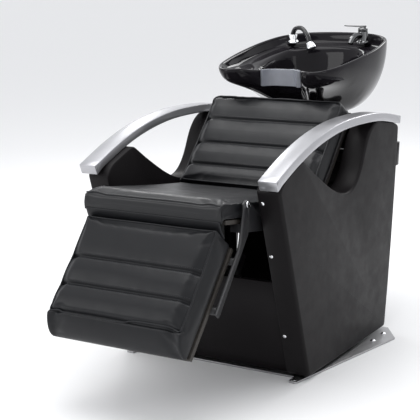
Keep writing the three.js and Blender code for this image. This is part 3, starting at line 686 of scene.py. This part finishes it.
def clear_of_hinge(piece, radius, inside, among=True):
    """Moves vertices on the wrong side of a radius about the legrest's hinge line onto it."""
    points = coords(piece.data)
    centre = np.array(HINGE)[1:]
    gap = points[:, 1:] - centre
    away = np.linalg.norm(gap, axis=1)
    wrong = (away > radius) if inside else (away < radius)
    wrong &= among
    points[wrong, 1:] = centre + gap[wrong] * (radius / away[wrong])[:, None]
    place(piece.data, points)


def snapped(piece, ideal, proud):
    """Points laid on the piece's surface, standing `proud` of it."""
    graph = bpy.context.evaluated_depsgraph_get()
    tree = BVHTree.FromObject(piece, graph)
    laid = []
    for point in ideal:
        at, normal, _, _ = tree.find_nearest(point)
        laid.append(at + normal * proud)
    return laid


def rounded_loop(pad, start, end, out, corner):
    """A rectangle with round corners in the pad's face, as a dense run of points."""
    step, arc = 8 * MM, 6
    quarters = ((1, end, -1), (-1, end, -1), (-1, start, 1), (1, start, 1))
    points = []
    for k, (side, run, inward) in enumerate(quarters):
        centre_x, centre_run = side * (pad.half - corner), run + inward * corner
        for j in range(arc + 1):
            turn = math.pi / 2 * (k + j / arc)
            points.append((centre_x + corner * math.cos(turn), centre_run + corner * math.sin(turn)))
    dense = []
    for (x0, s0), (x1, s1) in zip(points, points[1:] + points[:1]):
        pieces = max(1, int(math.hypot(x1 - x0, s1 - s0) / step))
        dense += [(x0 + (x1 - x0) * t / pieces, s0 + (s1 - s0) * t / pieces) for t in range(pieces)]
    return [pad.point(x, s, out) for x, s in dense]


def line_across(pad, half, along):
    count = int(2 * half / (6 * MM))
    return [pad.point(-half + 2 * half * i / count, along, pad.top) for i in range(count + 1)]


def place_stitch(bm, centre, along):
    side = along.orthogonal().normalized()
    across = along.cross(side)
    rings = []
    for share, thick in STITCH_SHAPE:
        ring = []
        for k in range(6):
            turn = math.pi * k / 3
            offset = (side * math.cos(turn) + across * math.sin(turn)) * STITCH_THICKNESS * thick
            ring.append(bm.verts.new(centre + along * share * STITCH_LENGTH + offset))
        rings.append(ring)
    skin(bm, rings)


def stitch_row(name, piece, ideal, body, slot):
    """A row of short raised stitches laid on a pad along the ideal line."""
    line = snapped(piece, ideal, 0.25 * MM)
    bm = bmesh.new()
    travelled = 0.0
    for start, end in zip(line, line[1:]):
        leg = end - start
        if leg.length < 1e-6:
            continue
        while travelled < leg.length:
            place_stitch(bm, start + leg.normalized() * travelled, leg.normalized())
            travelled += STITCH_PITCH
        travelled -= leg.length
    finish_piece(piece_of(bm, name), body, slot, look=THREAD)


def channel_seams(prefix, piece, pad, seams, body, slot, margin):
    """Twin rows of stitches on both sides of each sewn channel."""
    for i, seam in enumerate(seams):
        for side, offset in (("low", -1), ("high", 1)):
            ideal = line_across(pad, pad.half - margin, seam + offset * 1.6 * SEAM_WIDTH)
            stitch_row(f"{prefix}_stitch_{i}_{side}", piece, ideal, body, slot)


def piping(name, piece, ideal, body, slot):
    """A closed cord of piping that lies on the pad near the ideal loop, without kinks."""
    proud = PIPING * PIPING_PROUD
    path = snapped(piece, ideal, proud)
    for _ in range(2):
        path = snapped(piece, eased(path, 8), proud)
    finish_piece(sweep(name, eased(path, 1), PIPING, closed=True), body, slot)


# ---- seat ----
def make_seat():
    pad = Pad("seat_cushion", "seat_board", -1)
    piece = stuffed("seat_pad", welded("seat_cushion"), pad, 3 * MM, 9 * MM)
    points = coords(piece.data)
    nose = (points[:, 1] < HINGE[1]) & (points[:, 2] < HINGE[2] + 20 * MM)
    clear_of_hinge(piece, NOSE_LIMIT, True, nose)
    wrinkle(piece, pad)
    finish_piece(piece, "root", "seat_leather", ("seat_cushion",))
    reach = pad.half - 4 * MM
    y = HINGE[1] - NOSE_PIPING_RADIUS * math.cos(NOSE_PIPING_TURN)
    z = HINGE[2] + NOSE_PIPING_RADIUS * math.sin(NOSE_PIPING_TURN)
    ideal = [Vector((x, y, z)) for x in np.linspace(-reach, reach, 70)]
    line = snapped(piece, ideal, PIPING * PIPING_PROUD)
    finish_piece(sweep("seat_piping_front", line, PIPING), "root", "seat_leather")


# ---- backrest ----
def back_shape(pad):
    """The back cushion's CAD shape with its two top corners cut off."""
    bm = welded("back_cushion")
    for side, _ in SIDES:
        corner = pad.point(side * (pad.half - BACK_CHAMFER), pad.end, pad.top)
        normal = (Vector((side, 0, 0)) + pad.along).normalized()
        everything = bm.verts[:] + bm.edges[:] + bm.faces[:]
        shear = bmesh.ops.bisect_plane(
            bm, geom=everything, plane_co=corner, plane_no=normal, clear_outer=True
        )
        edges = [e for e in shear["geom_cut"] if isinstance(e, bmesh.types.BMEdge)]
        bmesh.ops.contextual_create(bm, geom=edges)
    return bm


def make_back():
    pad = Pad("back_cushion", "back_board", 1)
    piece = stuffed("back_pad", back_shape(pad), pad, 4 * MM, 11 * MM)
    seams = [pad.start + (pad.end - pad.start) * share for share in BACK_SEAMS]
    sew(piece, pad, [*seams, pad.end - BACK_TOP_SEAM], 9 * MM)
    finish_piece(piece, "root", "seat_leather", ("back_cushion",))
    channel_seams("back", piece, pad, seams, "root", "seat_leather", 14 * MM)
    for word, level in (("front", pad.top), ("rear", pad.low + 6 * MM)):
        loop = rounded_loop(pad, pad.start + 8 * MM, pad.end, level, 26 * MM)
        piping(f"back_piping_{word}", piece, loop, "root", "seat_leather")
    make_back_gussets(pad)
    make_rear_lining()


def make_back_gussets(pad):
    """Dark lining strips that close the gap between the back and each side panel."""
    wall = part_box("side_panel_right")[0].x - WALL_GAP
    first, last = pad.start + 4 * MM, pad.end - 86 * MM
    level = pad.low + 26 * MM
    section = ((-14, 0), (-7, -4), (0, 0), (0, -3), (-7, -7), (-14, -3))
    steps = 40
    for side, word in SIDES:
        rings = []
        bm = bmesh.new()
        for i in range(steps + 1):
            share = i / steps
            along = first + (last - first) * share
            sag = 3 * MM * math.sin(math.pi * share) + 0.8 * MM * math.sin(17 * share)
            places = [(side * (wall + x * MM), along, level + out * MM - sag) for x, out in section]
            rings.append([bm.verts.new(pad.point(*place)) for place in places])
        skin(bm, rings)
        finish_piece(piece_of(bm, f"back_gusset_{word}"), "root", "panel_leather")


# ---- linings and flap ----
def closed_sheet(name, point, rows, columns, thick):
    """A sheet with two faces and an edge; point(across, down, depth) gives each place on it."""
    bm = bmesh.new()
    front, back = (
        [[bm.verts.new(point(c / columns, r / rows, depth)) for c in range(columns + 1)]
         for r in range(rows + 1)]
        for depth in (0, thick)
    )
    for grid in (front, back):
        for r in range(rows):
            for c in range(columns):
                bm.faces.new((grid[r][c], grid[r][c + 1], grid[r + 1][c + 1], grid[r + 1][c]))
    edge = [(0, c) for c in range(columns)] + [(r, columns) for r in range(rows)]
    edge += [(rows, c) for c in range(columns, 0, -1)] + [(r, 0) for r in range(rows, 0, -1)]
    for (r0, c0), (r1, c1) in zip(edge, edge[1:] + edge[:1]):
        bm.faces.new((front[r0][c0], front[r1][c1], back[r1][c1], back[r0][c0]))
    return piece_of(bm, name)


def make_knee_flap():
    """Leather flap that bridges the seat's nose and the legrest's heel."""
    half = 222 * MM
    first, last = math.radians(14), math.radians(41)

    def point(across, down, depth):
        x = -half + 2 * half * across
        turn = first + (last - first) * down
        slack = 0.35 * MM * noise.noise(Vector((x * 30, down * 2, 6.1)))
        radius = FLAP_AT_NOSE + (FLAP_AT_HEEL - FLAP_AT_NOSE) * down + depth + slack
        return Vector((x, HINGE[1] - radius * math.cos(turn), HINGE[2] - radius * math.sin(turn)))

    flap = finish_piece(closed_sheet("knee_flap", point, 18, 60, 1.1 * MM), None, "legrest_leather")
    start, end = point(0.5, 0.1, 0), point(0.5, 0.95, 0)
    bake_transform(flap)


def make_rear_lining():
    """Black cloth stretched behind the back, above and below the rear beam."""
    beam_low, beam_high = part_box("rear_beam")
    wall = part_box("side_panel_right")[0].x - WALL_GAP
    board_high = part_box("back_board")[1]
    behind = beam_high.y + 3 * MM
    back_hem = (board_high.y - 15 * MM, beam_high.z + 90 * MM)
    beam_hem = (beam_high.y - 22 * MM, beam_high.z + 1.2 * MM)
    routes = {
        "upper": (back_hem, beam_hem),
        "lower": ((behind, beam_low.z - 2 * MM), (behind, beam_low.z - 84 * MM)),
    }
    for word, ((y0, z0), (y1, z1)) in routes.items():

        def point(across, down, depth):
            x = -wall + 2 * wall * across
            waves = 1.2 * noise.noise(Vector((x * 14, down * 3, 4.2)))
            slack = (1.5 + waves) * MM * math.sin(math.pi * down)
            return x, y0 + (y1 - y0) * down + depth - slack, z0 + (z1 - z0) * down

        lining = closed_sheet(f"rear_lining_{word}", point, 10, 60, 2.2 * MM)
        finish_piece(lining, "root", "panel_leather")


# ---- legrest ----
def make_legrest():
    pad = Pad("legrest_cushion", "legrest_board", -1)
    piece = stuffed("legrest_pad", welded("legrest_cushion"), pad, 4 * MM, 10 * MM)
    origin = Vector(HINGE).dot(pad.along)
    seams = [origin + run for run in LEG_SEAMS]
    sew(piece, pad, [*seams, origin + LEG_TOE_SEAM], 8 * MM)
    clear_of_hinge(piece, HEEL_LIMIT, False)
    finish_piece(piece, "legrest", "legrest_leather", ("legrest_cushion",))
    channel_seams("legrest", piece, pad, seams, "legrest", "legrest_leather", 12 * MM)
    heel, toe = (origin + run for run in LEG_PIPING)
    loop = rounded_loop(pad, heel, toe, pad.top, 16 * MM)
    piping("legrest_piping_face", piece, loop, "legrest", "legrest_leather")


# ---- upholstered side panels ----
def panel_outline(node):
    """The panel's full side-view outline, walked round the CAD mesh, as (y, z) points."""
    bm = welded(node)
    levels = {}
    for vertex in bm.verts:
        levels.setdefault(round(vertex.co.x, 4), []).append(vertex)
    spread = {}
    for x, vertices in levels.items():
        if len(vertices) > 8:
            spread[x] = max(v.co.y for v in vertices) - min(v.co.y for v in vertices)
    widest = max(spread.values())
    level = max((x for x in spread if spread[x] > widest - 0.2 * MM), key=abs)
    ring = set(levels[level])
    first = min(ring, key=lambda v: (v.co.z, v.co.y))
    path, at, last = [first], first, None
    while True:
        options = [e.other_vert(at) for e in at.link_edges if e.other_vert(at) in ring]
        onward = [v for v in options if v is not last and (v is first or v not in path)]
        last, at = at, (onward[0] if onward else first)
        if at is first:
            break
        path.append(at)
    points = [Vector((v.co.y, v.co.z)) for v in path]
    bm.free()
    area = sum(a.x * b.y - b.x * a.y for a, b in zip(points, points[1:] + points[:1]))
    return points if area > 0 else points[::-1]


def smoothed(points):
    """The closed outline resampled finely along its curves, with its corners only eased."""
    step, corner = 7 * MM, math.radians(28)
    count = len(points)
    sharp = []
    for i in range(count):
        before = points[i] - points[i - 1]
        after = points[(i + 1) % count] - points[i]
        sharp.append(abs(before.angle_signed(after)) > corner)
    dense = []
    for i in range(count):
        p1, p2 = points[i], points[(i + 1) % count]
        p0 = p1 if sharp[i] else points[i - 1]
        p3 = p2 if sharp[(i + 1) % count] else points[(i + 2) % count]
        pieces = max(1, int((p2 - p1).length / step))
        dense += [curve_point(p0, p1, p2, p3, k / pieces) for k in range(pieces)]
    return eased(dense, 5)


def inset(points, depth):
    """A closed outline moved inwards by the depth, with mitred corners."""
    count = len(points)
    moved = []
    for i in range(count):
        before = (points[i] - points[i - 1]).normalized()
        after = (points[(i + 1) % count] - points[i]).normalized()
        normal = Vector((-(before.y + after.y), before.x + after.x)).normalized()
        mitre = max(0.5, normal.dot(Vector((-after.y, after.x))))
        moved.append(points[i] + normal * depth / mitre)
    return moved


def padded_slab(name, outline, inner, outer):
    """A leather-covered slab between x = inner and x = outer, with its outer edge well rounded."""
    sign = 1 if outer > inner else -1
    large, small = PANEL_ROUNDING, 0.4 * PANEL_ROUNDING
    rings = []
    for k in range(3):
        turn = math.pi / 4 * k
        rings.append((inner + sign * small * (1 - math.cos(turn)), small * (1 - math.sin(turn))))
    for k in range(7):
        turn = math.pi / 12 * k
        rings.append((outer - sign * large * (1 - math.sin(turn)), large * (1 - math.cos(turn))))
    bm = bmesh.new()
    skin(bm, [[bm.verts.new((x, p.x, p.y)) for p in inset(outline, depth)] for x, depth in rings])
    return piece_of(bm, name)


def front_bolts(word, side, outline, inner):
    """Capped bolts down the front face of a side panel."""
    for i, height in enumerate(BOLT_HEIGHTS):
        near = [p for p in outline if abs(p.y - height) < 12 * MM]
        edge = min(near, key=lambda p: p.x)
        at = (inner + side * 14 * MM, edge.x + (edge.y - height) * FRONT_RAKE, height)
        fastener(f"panel_bolt_{word}_{i}", CAPPED_BOLT, at, (0, -1, -FRONT_RAKE))


def make_side_panels():
    for side, word in SIDES:
        node = f"side_panel_{word}"
        low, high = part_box(node)
        inner, outer = (low.x, high.x) if side > 0 else (high.x, low.x)
        outline = smoothed(panel_outline(node))
        cover = padded_slab(f"side_cover_{word}", outline, inner, outer)
        finish_piece(cover, "root", "panel_leather", (node,))
        front_bolts(word, side, outline, inner)


# ---- basin ----
def make_basin():
    bm = welded("bowl")
    bmesh.ops.join_triangles(
        bm, faces=bm.faces, angle_face_threshold=math.radians(60), angle_shape_threshold=math.radians(180)
    )
    piece = subdivide(piece_of(bm, "basin_glaze"))
    finish_piece(piece, "basin", "ceramic_glaze", ("bowl",))


def make_neck_rest():
    """A soft gel saddle that laps the notch in the basin's rim."""
    piece = piece_of(welded("neck_rest"), "neck_gel_pad")
    bevel = piece.modifiers.new("round", "BEVEL")
    bevel.width = 4 * MM
    bevel.segments = 3
    bevel.limit_method = "ANGLE"
    bevel.angle_limit = math.radians(40)
    apply_modifiers(piece)
    subdivide(piece)
    finish_piece(piece, "basin", "neck_gel", ("neck_rest",))


# ---- fittings ----
def squarish(value):
    """A sine or cosine pushed outwards, which turns a round section into a rounded bar."""
    return math.copysign(abs(value) ** 0.6, value)


def make_mixer_lever():
    """A flat lever that narrows towards its tip, with a rounded boss over the cartridge."""
    low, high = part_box("mixer_lever")
    turret_low, turret_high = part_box("mixer_cartridge")
    centre = (turret_low + turret_high) / 2
    stations, sides, taper = 18, 12, 0.45
    bm = bmesh.new()
    rings = []
    for i in range(stations + 1):
        t = i / stations
        x = high.x + (low.x - high.x) * t
        tip = math.sqrt(max(0.05, 1 - (2 * max(t, 0.5) - 1) ** 8))
        boss = math.sqrt(max(0.08, 1 - (1 - min(1, t / 0.12)) ** 2))
        half = (high.y - low.y) / 2 * (1 - taper * t) * tip * boss
        thick = (high.z - low.z) * (1 - taper * t)
        lift = 2.5 * MM * t * t
        ring = []
        for k in range(sides):
            turn = 2 * math.pi * k / sides
            y = centre.y + half * squarish(math.cos(turn))
            z = low.z + lift + thick / 2 * (1 + squarish(math.sin(turn)))
            ring.append(bm.verts.new((x, y, z)))
        rings.append(ring)
    skin(bm, rings)
    piece = piece_of(bm, "mixer_lever_blade")
    # the lever's darkened chrome is a painted dark reflection
    finish_piece(piece, "mixer_handle", "chrome", ("mixer_lever",), look=CHROME_PAINTED_DARK)


def make_shower():
    """Black swan-necked handle with a chromed spray head and its nozzle plate."""
    holder_low, holder_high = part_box("shower_holder")
    foot = (holder_low + holder_high) / 2
    foot.z = holder_low.z
    points = [Vector(p) * MM for p in SHOWER_NECK]
    last = len(points) - 1
    dense = []
    for i in range(last):
        p0, p3 = points[max(i - 1, 0)], points[min(i + 2, last)]
        dense += [curve_point(p0, points[i], points[i + 1], p3, k / 8) for k in range(8)]
    dense.append(points[-1])
    count = len(dense)
    radii = [(9.3 - 1.6 * math.sin(math.pi * i / (count - 1))) * MM for i in range(count)]
    handle = sweep("shower_handle", [foot + p for p in dense], radii, sides=20)
    finish_piece(handle, "shower", "shower_shell", ("hand_shower",))
    tip = foot + dense[-1]
    aim = Vector(SHOWER_AIM).normalized()
    finish_piece(turned("shower_head", SHOWER_HEAD, tip, aim, 40), "shower", "chrome")
    face = tip + aim * SHOWER_HEAD[-1][1] * MM
    side = aim.orthogonal().normalized()
    across = aim.cross(side)
    for radius, count in NOZZLE_RINGS:
        for k in range(count):
            turn = 2 * math.pi * k / count
            at = face + (side * math.cos(turn) + across * math.sin(turn)) * radius * MM
            nozzle = turned(f"shower_nozzle_{radius}_{k}", NOZZLE, at, aim, 10)
            finish_piece(nozzle, "shower", "shower_shell", look=NOZZLE_RUBBER)


def make_stretcher_screws():
    low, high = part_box("rear_stretcher")
    for side, _ in SIDES:
        for i, share in enumerate((0.25, 0.75)):
            z = low.z + (high.z - low.z) * share
            y = high.y - 2.4 * MM - (high.z - z) * STRETCHER_RAKE
            at = (side * (high.x - 40 * MM), y, z)
            fastener(f"stretcher_screw_{side + 1}_{i}", PAN_HEAD, at, (0, 1, 0))


def make_plate_bolts():
    """Bolts through the floor plate's rear wings and its front tabs."""
    low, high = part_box("base_plate")
    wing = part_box("side_panel_right")[1].x + 18 * MM
    tab = wing - 57 * MM
    spots = ((wing, high.y - 60 * MM), (wing, high.y - 140 * MM), (tab, low.y + 14 * MM))
    for side, _ in SIDES:
        for i, (x, y) in enumerate(spots):
            at = (side * x, y, high.z - 0.2 * MM)
            fastener(f"plate_bolt_{side + 1}_{i}", DOME_HEAD, at, (0, 0, 1))


def dress_cad_nodes():
    """Every CAD node keeps its shape and gets its slot's material and softened edges."""
    for part in frame["record"]["subparts"]:
        name = part["node"]
        node = frame["nodes"][name]
        node.data.materials.clear()
        # the mixer's body and cartridge get chrome darkened to paint the basin's dark reflection
        node.data.materials.append(CHROME_PAINTED_DARK if name in CHROME_PAINTED_DARK_NODES else LOOKS[part["material_slot"]])
        if not node.hide_render:
            soften_edges(node, 2.0 * MM if name.startswith("armrest") else 0.7 * MM)


make_camera()
make_floor()
make_studio()
make_seat()
make_back()
make_legrest()
make_knee_flap()
make_side_panels()
make_basin()
make_neck_rest()
make_mixer_lever()
make_shower()
make_stretcher_screws()
make_plate_bolts()
dress_cad_nodes()
